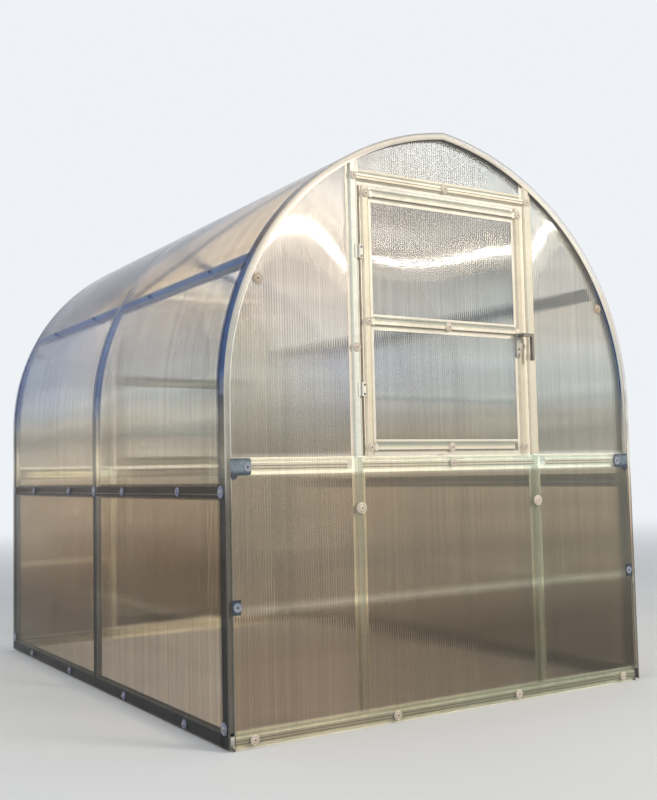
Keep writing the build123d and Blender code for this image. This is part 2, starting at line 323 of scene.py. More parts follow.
# How far the faces lean over each flute, from the least to the most, and over wide places
FLUTE_LEANS = (0.102, 0.138)
FLUTE_DRIFT = 0.03
STRAIGHT = (0.0, 0.0, 0.0)
UPWARDS = (0.0, 0.0, 1.0)
# Ranges of the flute wave and of the noises, with the shades that they give
RIBS = (0.20, 0.95, 1.0, 0.84)
STREAKS = (*NOISE, 0.95, 1.03)
SMEARS = (*NOISE, 0.92, 1.06)
THREADS = (0.35, 0.65)
# Share of the normal along Y that parts the cut edges from the faces
EDGE_FACING = (0.6, 0.9)
CUT_EDGE = (0.62, 0.60, 0.55)
SOILED_EDGE = (0.16, 0.16, 0.14)
SOILED_Z = (0.82, 0.96)
EDGE_CLEARNESS = 0.45
SHADOW_TINT = (0.90, 0.905, 0.91)

# Tints of the clear sheets, from the ground up, which hold painted light, shade and reflections:
# darker and browner low down with painted shade, pale bands of painted light where the rails
# beyond show through, and a dull band of painted shade above them
FRONT_BAY = (
    (0.15, (0.50, 0.43, 0.365)), (0.40, (0.59, 0.51, 0.405)), (0.43, (0.84, 0.75, 0.59)),
    (0.46, (0.65, 0.525, 0.41)), (0.62, (0.67, 0.51, 0.365)), (0.84, (0.79, 0.635, 0.475)),
    (0.92, (0.88, 0.77, 0.62)), (0.955, (0.99, 0.94, 0.81)), (1.015, (0.99, 0.93, 0.81)),
    (1.035, (0.84, 0.77, 0.67)), (1.10, (0.63, 0.60, 0.54)), (1.14, (0.88, 0.81, 0.71)),
    (1.19, (0.86, 0.80, 0.72)), (1.25, (0.76, 0.76, 0.74)), (1.29, (0.95, 0.94, 0.90)),
    (1.32, (0.82, 0.81, 0.80)), (1.45, (0.85, 0.82, 0.81)), (1.56, (0.94, 0.87, 0.80)),
    (1.70, (0.97, 0.88, 0.79)),
)
REAR_BAY = (
    (0.15, (0.51, 0.445, 0.355)), (0.84, (0.66, 0.54, 0.395)), (0.94, (0.84, 0.76, 0.59)),
    (0.98, (0.91, 0.84, 0.68)), (1.05, (0.81, 0.75, 0.64)), (1.13, (0.56, 0.535, 0.46)),
    (1.19, (0.74, 0.71, 0.65)), (1.25, (0.60, 0.63, 0.65)), (1.33, (0.60, 0.66, 0.77)),
    (1.45, (0.50, 0.58, 0.735)), (1.70, (0.48, 0.55, 0.725)),
)
ROOF_TOP = (
    (1.80, (0.92, 0.725, 0.52)), (1.84, (0.84, 0.665, 0.50)), (1.865, (0.40, 0.34, 0.30)),
    (1.885, (0.44, 0.38, 0.34)), (1.92, (0.76, 0.62, 0.52)), (2.00, (0.74, 0.62, 0.54)),
    (2.06, (0.42, 0.395, 0.43)), (2.13, (0.32, 0.335, 0.415)),
)
GABLE_TINTS = (
    (0.062, (0.62, 0.59, 0.49)), (0.07, (0.35, 0.28, 0.215)), (0.30, (0.35, 0.275, 0.205)),
    (0.44, (0.50, 0.41, 0.315)), (0.465, (0.86, 0.78, 0.64)), (0.49, (0.57, 0.475, 0.375)),
    (0.60, (0.57, 0.49, 0.39)), (0.925, (0.59, 0.51, 0.41)), (0.935, (0.97, 0.94, 0.86)),
    (0.995, (0.97, 0.94, 0.86)), (1.005, (0.55, 0.495, 0.425)), (1.15, (0.60, 0.55, 0.475)),
    (1.30, (0.83, 0.80, 0.735)), (1.65, (0.82, 0.73, 0.63)), (1.90, (0.88, 0.80, 0.70)),
    (2.20, (0.78, 0.76, 0.72)),
)
PANE_TINTS = (
    (0.10, (0.38, 0.31, 0.24)), (0.93, (0.57, 0.50, 0.41)), (1.05, (0.58, 0.52, 0.43)),
    (1.165, (0.67, 0.62, 0.53)), (1.18, (0.56, 0.55, 0.49)), (1.195, (0.72, 0.69, 0.61)),
    (1.34, (0.77, 0.765, 0.71)), (1.60, (0.64, 0.61, 0.55)), (1.90, (0.46, 0.41, 0.36)),
)
# Painted shade: the gable is cooler towards the right, and its lower sheet duller past the left post
COOLER_SHADE = (0.82, 0.90, 0.94)
COOLER_X = (-0.45, 0.45)
DULLER_SHADE = (0.85, 0.86, 0.845)
DULLER_X = (-0.55, -0.35)
# The walls go from the tints of the front bay to those of the rear bay over this
BAYS_Y = (-0.75, 0.65)
# The roof has its own tints, which slant and which end short of the ridge
ROOF_Z = (1.70, 1.75)
ROOF_SLANT = 0.30
ROOF_SLANT_Y = 0.6
ROOF_TOP_X = (-0.46, -0.10)
PAST_RIDGE = (0.97, 0.97, 0.97)
# The painted shade of the end arches on the sheet, high up and low down, and where it lies
ARCH_SHADE = (0.16, 0.21, 0.40)
ARCH_SHADE_LOW = (0.52, 0.54, 0.56)
ARCH_SHADE_Z = (1.16, 1.30)
ARCH_SHADE_START = (1.262, 1.268)
ARCH_SHADE_END = (1.289, 1.292)


# Bow of the side sheets of the gable: its middle and width, and how far they lean in its
# main wave, its half wave and off to one side
SIDE_MIDDLE = 0.69
SIDE_BOW = 0.82
SIDE_LEAN = -0.034
SIDE_HALF_WAVE_LEAN = 0.004
SIDE_OFF_LEAN = -0.0045
# Their middle leans one way below this height and the other way above it
SIDE_TURN = (1.65, 2.05)
SIDE_TURN_LEAN = 0.004
# They turn down over this far from the arch
RIM_WIDTH = 0.020
RIM_LEAN = 0.010
# Bow of the sheet of the leaf, which ends inside LEAF_REACH
LEAF_REACH = 0.425
LEAF_MIDDLE = 0.10
LEAF_BOW = 1.05
LEAF_LEAN = -0.010
LEAF_TURN = (1.57, 1.97)
LEAF_TURN_LEAN = 0.024
ROOF_LEAN = 0.025


def bowed_gable(x, z):
    """Lean of the gable sheets in Z. They bow between their fixings: the side sheets
    lean most along the line of their middles and turn down at the arch, and the leaf
    leans most along its edges."""
    out = abs(x)
    turn = (out - SIDE_MIDDLE) * (2 * math.pi / SIDE_BOW)
    side = turn.cosine() * SIDE_LEAN + (turn * 2.0).cosine() * SIDE_HALF_WAVE_LEAN
    side = side + turn.sine() * SIDE_OFF_LEAN
    side = side + (turn.cosine() + 1.0) * z.span(*SIDE_TURN, SIDE_TURN_LEAN, -SIDE_TURN_LEAN)
    side = side + ((arch_inset(x, z) - ARCH_BACK) / -RIM_WIDTH).exponent() * RIM_LEAN
    wave = ((x - LEAF_MIDDLE) * (2 * math.pi / LEAF_BOW)).sine()
    leaf = wave * LEAF_LEAN + z.span(*LEAF_TURN, -LEAF_TURN_LEAN, LEAF_TURN_LEAN)
    return side + (out < LEAF_REACH) * (leaf - side)


def bowed_roof(shader):
    """Lean of the bent sheets in Z, in long shallow waves."""
    waves = shader.noise(stretch=(0.5, 1.0, 0.8), scale=1.1, detail=1.0, seed=5.0)
    return waves.span(*NOISE, -ROOF_LEAN, ROOF_LEAN)


def gable_tint(shader, place, sway, tints):
    """Tint of a gable sheet: by height, with painted shade cooler towards the right and duller
    there on the lower sheet."""
    x, _, z = place
    tint = by_height(z + sway, tints)
    tint = shader.tinted(tint, COOLER_SHADE, x.span(*COOLER_X))
    low = (z < SHELTER_TOP - 2 * RAIL_HALF) * x.span(*DULLER_X)
    return shader.tinted(tint, DULLER_SHADE, low)


def roof_tint(shader, place, sway, tints):
    """Tint of a wall and roof sheet, with painted light, shade and reflections: by height, warm
    in front and cool at the back, with slanting bands of painted reflection over the left
    purlins and a painted shade beside the end arches."""
    x, y, z = place
    height = z + sway
    front, rear, top = tints
    wall = shader.mix(y.span(*BAYS_Y), by_height(height, front), by_height(height, rear))
    slanted = by_height(height + (y + ROOF_SLANT_Y) * ROOF_SLANT, top)
    roof = shader.mix(x.span(*ROOF_TOP_X, 1.0, 0.0), PAST_RIDGE, slanted)
    tint = shader.mix(z.span(*ROOF_Z), wall, roof)
    shade = abs(y).span(*ARCH_SHADE_START) * abs(y).span(*ARCH_SHADE_END, 1.0, 0.0)
    shaded = shader.mix(height.span(*ARCH_SHADE_Z), ARCH_SHADE_LOW, ARCH_SHADE)
    return shader.tinted(tint, shaded, shade)


def streaked(shader, tint, wave, streaks, along, thread):
    """The tint with a darker rib along each flute, and with streaks and smears. thread is
    how much the finest streaks show."""
    fine = with_axis((0.6, 0.6, 0.6), along, 120.0)
    wide = with_axis((1.2, 1.2, 5.0), along, 0.35)
    threads = shader.noise(stretch=fine, scale=1.0, detail=1.0, seed=9.0)
    smears = shader.noise(stretch=wide, scale=1.5, detail=2.0, seed=11.0)
    threads = threads.span(*THREADS, 1.0 - thread, 1.0 + thread)
    for shade in (wave.span(*RIBS), streaks.span(*STREAKS), threads, smears.span(*SMEARS)):
        tint = shader.scaled(tint, shade)
    return tint


def cut_edge(shader, on_gable):
    """1 on the cut edges of a sheet and 0 on its faces, which look along Y on the gables."""
    facing = shader.axes(shader.node("NewGeometry").outputs["True Normal"])
    along_y = abs(facing[1]).span(*EDGE_FACING)
    return 1.0 - along_y if on_gable else along_y


def let_shadow_rays_through(shader):
    """A thin sheet lets plain light through, so shadow rays pass it."""
    clear = shader.node("BsdfTransparent")
    shader.feed(clear.inputs[0], SHADOW_TINT)
    passing = shader.node("MixShader")
    shader.feed(passing.inputs[0], shader.node("LightPath").outputs["Is Shadow Ray"])
    shader.feed(passing.inputs[1], shader.principled.outputs[0])
    shader.feed(passing.inputs[2], clear.outputs[0])
    shader.feed(shader.output.inputs["Surface"], passing.outputs[0])


def twin_wall(name, tints, clear, rough, on_gable=True, sway=0.0, thread=0.055, ior=1.32, gloss=0.5):
    """Clear fluted sheet. Its flutes run square to X on the gables and square to Y over
    the arches, so they spread light and reflections along that axis and leave them sharp
    the other way. sway is how far its tints wander up and down."""
    shader = Shader(name)
    along = 0 if on_gable else 1
    place = shader.axes()
    wave = (place[along] * (2 * math.pi / FLUTE_PITCH)).sine()
    fluted = with_axis(EVEN, along, 70.0)
    streaks = shader.noise(stretch=fluted, scale=1.6, detail=5.0, roughness=0.75)
    broad = shader.noise(scale=1.4, detail=2.0, seed=3.0)
    lean = wave * streaks.span(*NOISE, *FLUTE_LEANS) + broad.span(*NOISE, -FLUTE_DRIFT, FLUTE_DRIFT)
    bow = bowed_gable(place[0], place[2]) if on_gable else bowed_roof(shader)
    across = shader.scaled(with_axis(STRAIGHT, along, 1.0), lean)
    shader.into("Normal", shader.leaned(across, shader.scaled(UPWARDS, bow)))
    swaying = shader.noise(stretch=(0.9, 0.9, 2.0), scale=1.3, detail=1.0, seed=13.0)
    # The tints hold painted light, shade and reflections
    tint_rule = gable_tint if on_gable else roof_tint
    tint = tint_rule(shader, place, swaying.span(*NOISE, -sway, sway), tints)
    tint = streaked(shader, tint, wave, streaks, along, thread)
    # The cut edges are milky, and soiled near the ground
    edge = cut_edge(shader, on_gable)
    milky = shader.mix(place[2].span(*SOILED_Z), SOILED_EDGE, CUT_EDGE)
    shader.into("Base Color", shader.mix(edge, tint, milky))
    shader.into("Transmission Weight", edge.span(0.0, 1.0, clear, EDGE_CLEARNESS))
    shader.into("Roughness", broad.span(*NOISE, 0.8 * rough, 1.2 * rough))
    shader.set(ior=ior, specular_ior_level=gloss)
    let_shadow_rays_through(shader)
    return shader.material


# Zinc coated steel. Tones are a dark and a light one

SPANGLE_SCALE = 90.0
SPANGLE_SHARE = 0.20
# Painted shade in creases: how far a crease reaches, and the range of open sky there
# with the shades that it gives
CREASE_REACH = 0.014
CREASE_PAINTED_SHADE = (0.35, 0.95, 0.62, 1.0)
# How much rougher the dull patches are, and how much smoother the worn ones
DULL = 0.10
SMOOTH = 0.08
# Painted light: pale steel where light through the sheets falls
PAINTED_LIGHT_STEEL = (0.95, 0.93, 0.85)
# Painted reflection of a blue sky on the arches
ARCH_SKY_REFLECTION_TONES = ((0.005, 0.050, 0.185), (0.012, 0.112, 0.34))
# Painted light and shade on the arch from the ground up, with the heights where it changes
GROUND_TONES = ((0.075, 0.095, 0.11), (0.14, 0.17, 0.195))
LEG_Z = (0.86, 0.96)
LEG_TONES = ((0.52, 0.50, 0.45), (0.74, 0.71, 0.64))
ARCH_Z = (1.08, 1.30)
FRONT_SHOULDER_Y = -1.2
FRONT_SHOULDER_Z = (1.70, 1.76)
FRONT_SHOULDER_TONES = ((0.07, 0.045, 0.06), (0.14, 0.10, 0.11))
MIDDLE_ARCH_Y = 0.2
MIDDLE_SHOULDER_Z = (1.74, 1.90)
MIDDLE_SHOULDER_SHARE = 0.8
# Painted light on its narrow side from the ground up, with the heights where that changes
NARROW_TONES = (
    ((0.10, 0.095, 0.08), (0.14, 0.13, 0.11)),
    ((0.24, 0.225, 0.19), (0.30, 0.28, 0.24)),
    ((0.34, 0.33, 0.30), (0.42, 0.41, 0.37)),
    ((0.58, 0.53, 0.46), (0.68, 0.63, 0.55)),
)
NARROW_Z = ((0.80, 0.96), (0.9, 1.35), (1.45, 1.85))
FOLD_INSET = (0.015, 0.023)
FOLD_LIGHT = 2.1
# Painted reflection of a blue sky on the purlins
PURLIN_SKY_REFLECTION_TONES = ((0.003, 0.034, 0.13), (0.007, 0.068, 0.23))
# Painted shade: the side rails dark, as on the shaded wall
SIDE_RAIL_SHADE_TONES = ((0.04, 0.038, 0.038), (0.075, 0.07, 0.068))
# Painted sunlight: zinc grey warmed to cream on the gable steel, and paler posts behind the lower sheet
GABLE_SUNLIT_TONES = ((0.55, 0.52, 0.465), (0.65, 0.615, 0.55))
POST_PAINTED_LIGHT_TONES = ((0.84, 0.90, 0.78), (0.90, 0.96, 0.84))
HINGE_TONES = ((0.60, 0.58, 0.51), (0.70, 0.68, 0.60))
BOLT_TONES = ((0.28, 0.26, 0.23), (0.48, 0.46, 0.42))
# Painted shade: the brackets dark, with a painted sheen of the sky over their middle
BRACKET_SHADE_TONES = ((0.012, 0.016, 0.026), (0.045, 0.06, 0.085))
BRACKET_SHEEN = ((0.06, 0.085, 0.11), (0.22, 0.27, 0.32))
# Middle and half height of the painted sheen on the brackets, and how it comes up from the edge
BRACKET_SHEEN_Z = 0.962
BRACKET_SHEEN_REACH = 0.026
BRACKET_SHEEN_RISE = (0.0, 0.5, 0.0, 0.8)

# How the folds of the rolled bars take the light, from the lower edge of a rail up
# and from the left edge of an upright
BRIGHT = (1.0, 0.99, 0.93)
CREAM = (0.92, 0.87, 0.74)
GREEN = (0.52, 0.55, 0.50)
LINE = (0.30, 0.28, 0.22)
RAIL_BANDS = (
    (0.00, BRIGHT), (0.29, BRIGHT), (0.31, LINE), (0.36, LINE), (0.38, CREAM), (0.48, CREAM),
    (0.50, LINE), (0.54, LINE), (0.56, BRIGHT), (0.73, BRIGHT), (0.76, GREEN), (0.88, GREEN),
    (0.91, CREAM),
)
LEAF_BANDS = (
    (0.00, BRIGHT), (0.25, BRIGHT), (0.29, LINE), (0.34, LINE), (0.37, BRIGHT), (0.54, CREAM),
    (0.58, GREEN), (0.86, GREEN), (0.89, BRIGHT),
)
POST_BANDS = (
    (0.00, (1.0, 0.93, 0.86)), (0.14, (1.0, 0.93, 0.86)), (0.17, (0.95, 1.0, 0.92)),
    (0.31, (1.25, 1.32, 1.25)), (0.34, (0.92, 0.98, 0.96)), (0.64, (0.96, 1.02, 0.98)), (0.68, GREEN),
    (0.80, GREEN), (0.84, BRIGHT),
)
RIGHT_POST_BANDS = (
    (0.00, (1.35, 1.32, 1.18)), (0.31, (1.30, 1.26, 1.12)), (0.34, (0.84, 0.83, 0.74)),
    (0.64, (0.90, 0.89, 0.80)), (0.68, CREAM), (1.00, CREAM),
)
STILE_BANDS = (
    (0.00, (0.16, 0.13, 0.10)), (0.13, (0.20, 0.17, 0.13)), (0.15, (1.50, 1.40, 1.24)),
    (0.31, (1.48, 1.38, 1.20)), (0.34, (0.92, 0.86, 0.71)), (0.60, (0.90, 0.84, 0.68)),
    (0.66, (0.50, 0.46, 0.34)), (0.76, (0.50, 0.46, 0.34)), (0.80, BRIGHT), (1.00, BRIGHT),
)
RIGHT_STILE_BANDS = (
    (0.00, BRIGHT), (0.13, BRIGHT), (0.16, (1.20, 1.12, 0.96)), (0.31, (1.10, 1.02, 0.86)),
    (0.34, (0.80, 0.75, 0.62)), (0.62, (0.78, 0.73, 0.60)), (0.68, (1.10, 1.06, 0.92)), (1.00, BRIGHT),
)
# Painted highlights along the lower edge and one fold of the side rails
SIDE_RAIL_HIGHLIGHTS = (
    (0.00, (5.0, 4.9, 4.6)), (0.06, (4.5, 4.4, 4.2)), (0.09, (1.1, 1.0, 1.1)),
    (0.31, (1.0, 0.95, 1.05)), (0.34, (6.2, 6.0, 5.8)), (0.39, (5.8, 5.6, 5.4)),
    (0.42, (1.35, 1.15, 0.88)), (1.00, (1.4, 1.15, 0.85)),
)


def zinc(name, tones, metal=0.10, rough=0.45, gloss=0.5, finish=None):
    """Zinc coated steel: a faint spangle, dull patches and light brushing, with painted shade in
    its creases. finish can change the colour over the object."""
    shader = Shader(name)
    cells = shader.node("TexVoronoi", feature="F1")
    shader.feed(cells.inputs["Vector"], shader.place())
    shader.feed(cells.inputs["Scale"], SPANGLE_SCALE)
    spangle = shader.node("SeparateColor")
    shader.feed(spangle.inputs[0], cells.outputs["Color"])
    patches = shader.noise(scale=5.0, detail=4.0, seed=7.0)
    worn = Field(shader, spangle.outputs[0]) * SPANGLE_SHARE + patches * (1.0 - SPANGLE_SHARE)
    colour = worn.blend(tones)
    if finish:
        colour = finish(shader, worn, colour)
    # Painted shade: the colour is darkened where the creases shut out the light
    crease = shader.node("AmbientOcclusion", samples=4, only_local=True)
    shader.feed(crease.inputs["Distance"], CREASE_REACH)
    shade = Field(shader, crease.outputs["AO"]).span(*CREASE_PAINTED_SHADE)
    shader.into("Base Color", shader.scaled(colour, shade))
    shader.into("Roughness", worn.span(0.2, 0.8, rough + DULL, rough - SMOOTH))
    shader.set(metallic=metal, specular_ior_level=gloss)
    shader.grain(40.0, scale=6.0, detail=3.0, seed=1.0, strength=0.4)
    return shader.material


def arch_finish(shader, worn, colour):
    """Painted light, shade and sky reflection on one steel: grey near the ground and pale above
    the side rail, then blue, brown over the front shoulder and pale over the middle one, with
    the narrow side paler."""
    x, y, z = shader.axes()
    low = shader.mix(z.span(*LEG_Z), worn.blend(GROUND_TONES), worn.blend(LEG_TONES))
    colour = shader.mix(z.span(*ARCH_Z), low, colour)
    front_shoulder = (y < FRONT_SHOULDER_Y) * z.span(*FRONT_SHOULDER_Z)
    colour = shader.mix(front_shoulder, colour, worn.blend(FRONT_SHOULDER_TONES))
    middle_shoulder = (abs(y) < MIDDLE_ARCH_Y) * z.span(*MIDDLE_SHOULDER_Z, 0.0, MIDDLE_SHOULDER_SHARE)
    colour = shader.mix(middle_shoulder, colour, PAINTED_LIGHT_STEEL)
    inset = arch_inset(x, z)
    narrow = (inset > ARCH_BACK - ARCH_MARGIN).at_least(abs(y) > ARCH_STRIP)
    return shader.mix(narrow, colour, narrow_side(shader, worn, z, inset))


def narrow_side(shader, worn, z, inset):
    """Colour of the side of an arch that shows on the gable, in painted light: paler the higher
    it is, and palest in the fold along the sheet."""
    low, *higher = (worn.blend(tones) for tones in NARROW_TONES)
    pale = low
    for heights, tone in zip(NARROW_Z, higher):
        pale = shader.mix(z.span(*heights), pale, tone)
    return shader.scaled(pale, inset.span(*FOLD_INSET, 1.0, FOLD_LIGHT))


def across_bars(value, centres):
    """Place across the nearest bar: 0 at its lower or left edge and 1 at the other."""
    parts = [(value - (centre - RAIL_HALF)) / (2 * RAIL_HALF) for centre in centres]
    first, *others = [(abs(part - 0.5) < 0.5) * part for part in parts]
    for part in others:
        first = first + part
    return first


def side_rail_finish(shader, worn, colour):
    """Painted highlights along the lower edge and along one fold, and dull above."""
    _, _, z = shader.axes()
    return shader.tinted(colour, across_bars(z, (SIDE_RAIL_Z,)).ramp(*SIDE_RAIL_HIGHLIGHTS))


def upright_bands(shader, x, centre, left_bands, right_bands):
    """Painted light and shade on the folds of a pair of uprights, which differ on the
    two sides of the gable.
    """
    across = across_bars(x, (-centre, centre))
    return shader.mix(x > 0.0, across.ramp(*left_bands), across.ramp(*right_bands))


def painted_light_inside(shader, y, colour):
    """The colour, but pale with painted light on what faces into the house."""
    inside = abs(y) < FRAME_MARGIN - FRAME_BACK
    return shader.mix(inside, colour, PAINTED_LIGHT_STEEL)


def rail_finish(shader, worn, colour):
    """Painted light and shade on the folds of the crossbars, which are pale with painted
    light behind the lower sheet.
    """
    _, y, z = shader.axes()
    bands = across_bars(z, (BASE_RAIL_Z, MID_RAIL_Z, HEADER_Z)).ramp(*RAIL_BANDS)
    colour = painted_light_inside(shader, y, shader.tinted(colour, bands))
    return shader.mix(z < SHELTER_TOP, colour, shader.tinted(bands, PAINTED_LIGHT_STEEL))


def post_finish(shader, worn, colour):
    """Painted light and shade on the folds of the posts, which are plain behind the lower
    sheet and pale there with painted light.
    """
    x, y, z = shader.axes()
    bands = upright_bands(shader, x, POST_X, POST_BANDS, RIGHT_POST_BANDS)
    colour = painted_light_inside(shader, y, shader.tinted(colour, bands))
    return shader.mix(z < SHELTER_TOP, colour, worn.blend(POST_PAINTED_LIGHT_TONES))


def leaf_finish(shader, worn, colour):
    """Painted light and shade on the folds of the stiles and rails of the leaf frames."""
    x, y, z = shader.axes()
    heights = (*DOOR_RAILS, WINDOW_BOTTOM_Z, WINDOW_TOP_Z, SASH_RAIL_Z)
    rails = across_bars(z, heights).ramp(*LEAF_BANDS)
    stiles = upright_bands(shader, x, STILE_X, STILE_BANDS, RIGHT_STILE_BANDS)
    bands = shader.mix(abs(x) > STILE_X - RAIL_HALF, rails, stiles)
    return painted_light_inside(shader, y, shader.tinted(colour, bands))


def bracket_finish(shader, worn, colour):
    """Dark along its edges in painted shade, with a painted sheen of the sky over the middle."""
    _, _, z = shader.axes()
    from_edge = 1.0 - abs((z - BRACKET_SHEEN_Z) / BRACKET_SHEEN_REACH)
    return shader.mix(from_edge.span(*BRACKET_SHEEN_RISE), colour, worn.blend(BRACKET_SHEEN))


# Painted and moulded fittings. Tones are those of the hollows and of the rubbed edges

SCREW_DARK = ((0.05, 0.045, 0.04), (0.10, 0.09, 0.08))
SCREW_BROWN = ((0.10, 0.075, 0.055), (0.18, 0.135, 0.10))
HANDLE_GREY = ((0.10, 0.085, 0.07), (0.19, 0.165, 0.14))
LATCH_GREY = ((0.36, 0.34, 0.29), (0.46, 0.44, 0.38))
# Painted shade: the plastic washers bluish and darker on the shaded walls
WASHER_PAINTED_SHADE = ((0.16, 0.17, 0.26), (0.27, 0.28, 0.38))
WASHER_PLASTIC = ((0.62, 0.54, 0.43), (0.80, 0.73, 0.61))
# Painted glare: the plastic washers browner at the shoulders
WASHER_GLARE_BROWN = ((0.46, 0.37, 0.27), (0.62, 0.52, 0.40))
# Painted shade: the plastic washers bluish by the brackets
BRACKET_WASHER_SHADE = ((0.24, 0.28, 0.36), (0.38, 0.42, 0.50))
WASHER_SEAL = ((0.34, 0.25, 0.17), (0.50, 0.38, 0.27))
# How much rougher the rubbed edges are
RUBBED = 0.12


def moulded(name, tones, rough, clear=0.0, finish=None):
    """Painted or moulded fitting with a fine grain and rubbed edges."""
    shader = Shader(name)
    patches = shader.noise(scale=30.0, detail=4.0, seed=2.0)
    colour = patches.blend(tones, NOISE)
    if finish:
        colour = finish(shader, patches, colour)
    shader.into("Base Color", colour)
    shader.into("Roughness", patches.span(*NOISE, rough, rough + RUBBED))
    shader.set(transmission_weight=clear)
    shader.grain(60.0, scale=9.0, detail=2.0, seed=5.0, strength=0.3)
    return shader.material


def latch_finish(shader, patches, colour):
    """Paler over the plate of the latch, which reaches down from the arm of the handle."""
    _, y, _ = shader.axes()
    return shader.mix(abs(y) < LATCH_PLATE_FRONT, colour, patches.blend(LATCH_GREY, NOISE))


# The materials

ROOF_TINTS = (FRONT_BAY, REAR_BAY, ROOF_TOP)
sheet_gable = twin_wall("twin_wall_gable", GABLE_TINTS, clear=0.84, rough=0.06)
sheet_leaf = twin_wall("twin_wall_leaf", PANE_TINTS, clear=0.84, rough=0.055, sway=0.03)
sheet_roof = twin_wall(
    "twin_wall_roof", ROOF_TINTS, clear=0.96, rough=0.05, on_gable=False,
    sway=0.02, thread=0.10, ior=1.10, gloss=0.3,
)
arch_zinc = zinc("zinc_arch", ARCH_SKY_REFLECTION_TONES, metal=0.0, gloss=0.15, finish=arch_finish)
purlin_zinc = zinc("zinc_purlin", PURLIN_SKY_REFLECTION_TONES, metal=0.0, gloss=0.12)
side_zinc = zinc("zinc_side_rail", SIDE_RAIL_SHADE_TONES, gloss=0.25, finish=side_rail_finish)
rail_zinc = zinc("zinc_rail", GABLE_SUNLIT_TONES, finish=rail_finish)
post_zinc = zinc("zinc_post", GABLE_SUNLIT_TONES, finish=post_finish)
leaf_zinc = zinc("zinc_leaf", GABLE_SUNLIT_TONES, finish=leaf_finish)
hinge_zinc = zinc("zinc_hinge", HINGE_TONES, rough=0.50)
bolt_zinc = zinc("zinc_bolt", BOLT_TONES, metal=0.70, rough=0.35)
bracket_zinc = zinc("zinc_bracket", BRACKET_SHADE_TONES, metal=0.3, rough=0.50)
plate_zinc = zinc("zinc_bracket_plate", BRACKET_SHADE_TONES, metal=0.3, rough=0.50, finish=bracket_finish)
screw_dark = moulded("screw_dark", SCREW_DARK, rough=0.40)
screw_brown = moulded("screw_brown", SCREW_BROWN, rough=0.40)
handle_paint = moulded("handle_grey", HANDLE_GREY, rough=0.40, finish=latch_finish)
washer_painted_shade = moulded("washer_painted_shade", WASHER_PAINTED_SHADE, rough=0.30, clear=0.25)
washer_plastic = moulded("washer_plastic", WASHER_PLASTIC, rough=0.30, clear=0.25)
washer_glare_brown = moulded("washer_glare_brown", WASHER_GLARE_BROWN, rough=0.35, clear=0.30)
bracket_washer_shade = moulded("bracket_washer_shade", BRACKET_WASHER_SHADE, rough=0.35, clear=0.30)
washer_seal = moulded("washer_seal", WASHER_SEAL, rough=0.50)


# Carried-over solids

def finish_of(name):
    """Material of a solid of the model, by its name."""
    if "pane" in name:
        return sheet_leaf
    if "sheet" in name:
        return sheet_roof if name.startswith("roof") else sheet_gable
    if "handle" in name:
        return handle_paint
    if name.startswith("side_rail"):
        return side_zinc
    if name.startswith("purlin"):
        return purlin_zinc
    if name.startswith("arch") or name in ("base_rail_left", "base_rail_right"):
        return arch_zinc
    if "hinge" in name:
        return hinge_zinc
    if "post" in name:
        return post_zinc
    return leaf_zinc if "frame" in name else rail_zinc


for node_name, node_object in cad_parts.items():
    node_object.data.materials.clear()
    node_object.data.materials.append(finish_of(node_name))


# Fixings

# Turned forms as (radius, height), from the rim to the tip
WASHER = (
    (0.0175, 0.0), (0.0175, 0.0015), (0.0160, 0.0034), (0.0130, 0.0042), (0.0118, 0.0032),
    (0.0104, 0.0032), (0.0094, 0.0048), (0.0056, 0.0058), (0.0042, 0.0056), (0.0038, 0.0040),
    (0.0, 0.0040),
)
SEAL = (
    (0.0124, 0.0028), (0.0124, 0.0037), (0.0100, 0.0037), (0.0098, 0.0030), (0.0, 0.0030),
)
WASHER_SCREW = (
    (0.0038, 0.0), (0.0036, 0.0012), (0.0022, 0.0020), (0.0012, 0.0020), (0.0009, 0.0012),
    (0.0, 0.0012),
)
HEX_HEAD = (
    (0.0078, 0.0), (0.0078, 0.0012), (0.0056, 0.0016), (0.0056, 0.0052), (0.0048, 0.0060),
    (0.0028, 0.0060), (0.0024, 0.0040), (0.0, 0.0040),
)
DOME_HEAD = (
    (0.0085, 0.0), (0.0085, 0.0010), (0.0074, 0.0030), (0.0050, 0.0042), (0.0024, 0.0046),
    (0.0020, 0.0030), (0.0, 0.0030),
)
WIDE_WASHER = (
    (0.0220, 0.0), (0.0220, 0.0016), (0.0205, 0.0026), (0.0125, 0.0026), (0.0120, 0.0020),
    (0.0, 0.0020),
)
SMALL_SCREW = (
    (0.0046, 0.0), (0.0046, 0.0006), (0.0034, 0.0016), (0.0014, 0.0017), (0.0010, 0.0007),
    (0.0, 0.0007),
)
# How high a screw sits on a washer of each kind
WASHER_SEAT = 0.0040
WIDE_SEAT = 0.0020
# How many sides the turned forms have
WASHER_SIDES = 40
SIDE_WASHER_SIDES = 32
SCREW_SIDES = 12
HEX_SIDES = 6
# Edges that are sharper than this stay sharp, and plates are bevelled by this of their thickness
SHARP_ANGLE = math.radians(35)
BEVEL_SHARE = 0.3

OUT = (0.0, -1.0, 0.0)
BACK = (0.0, 1.0, 0.0)
LEFT = (-1.0, 0.0, 0.0)


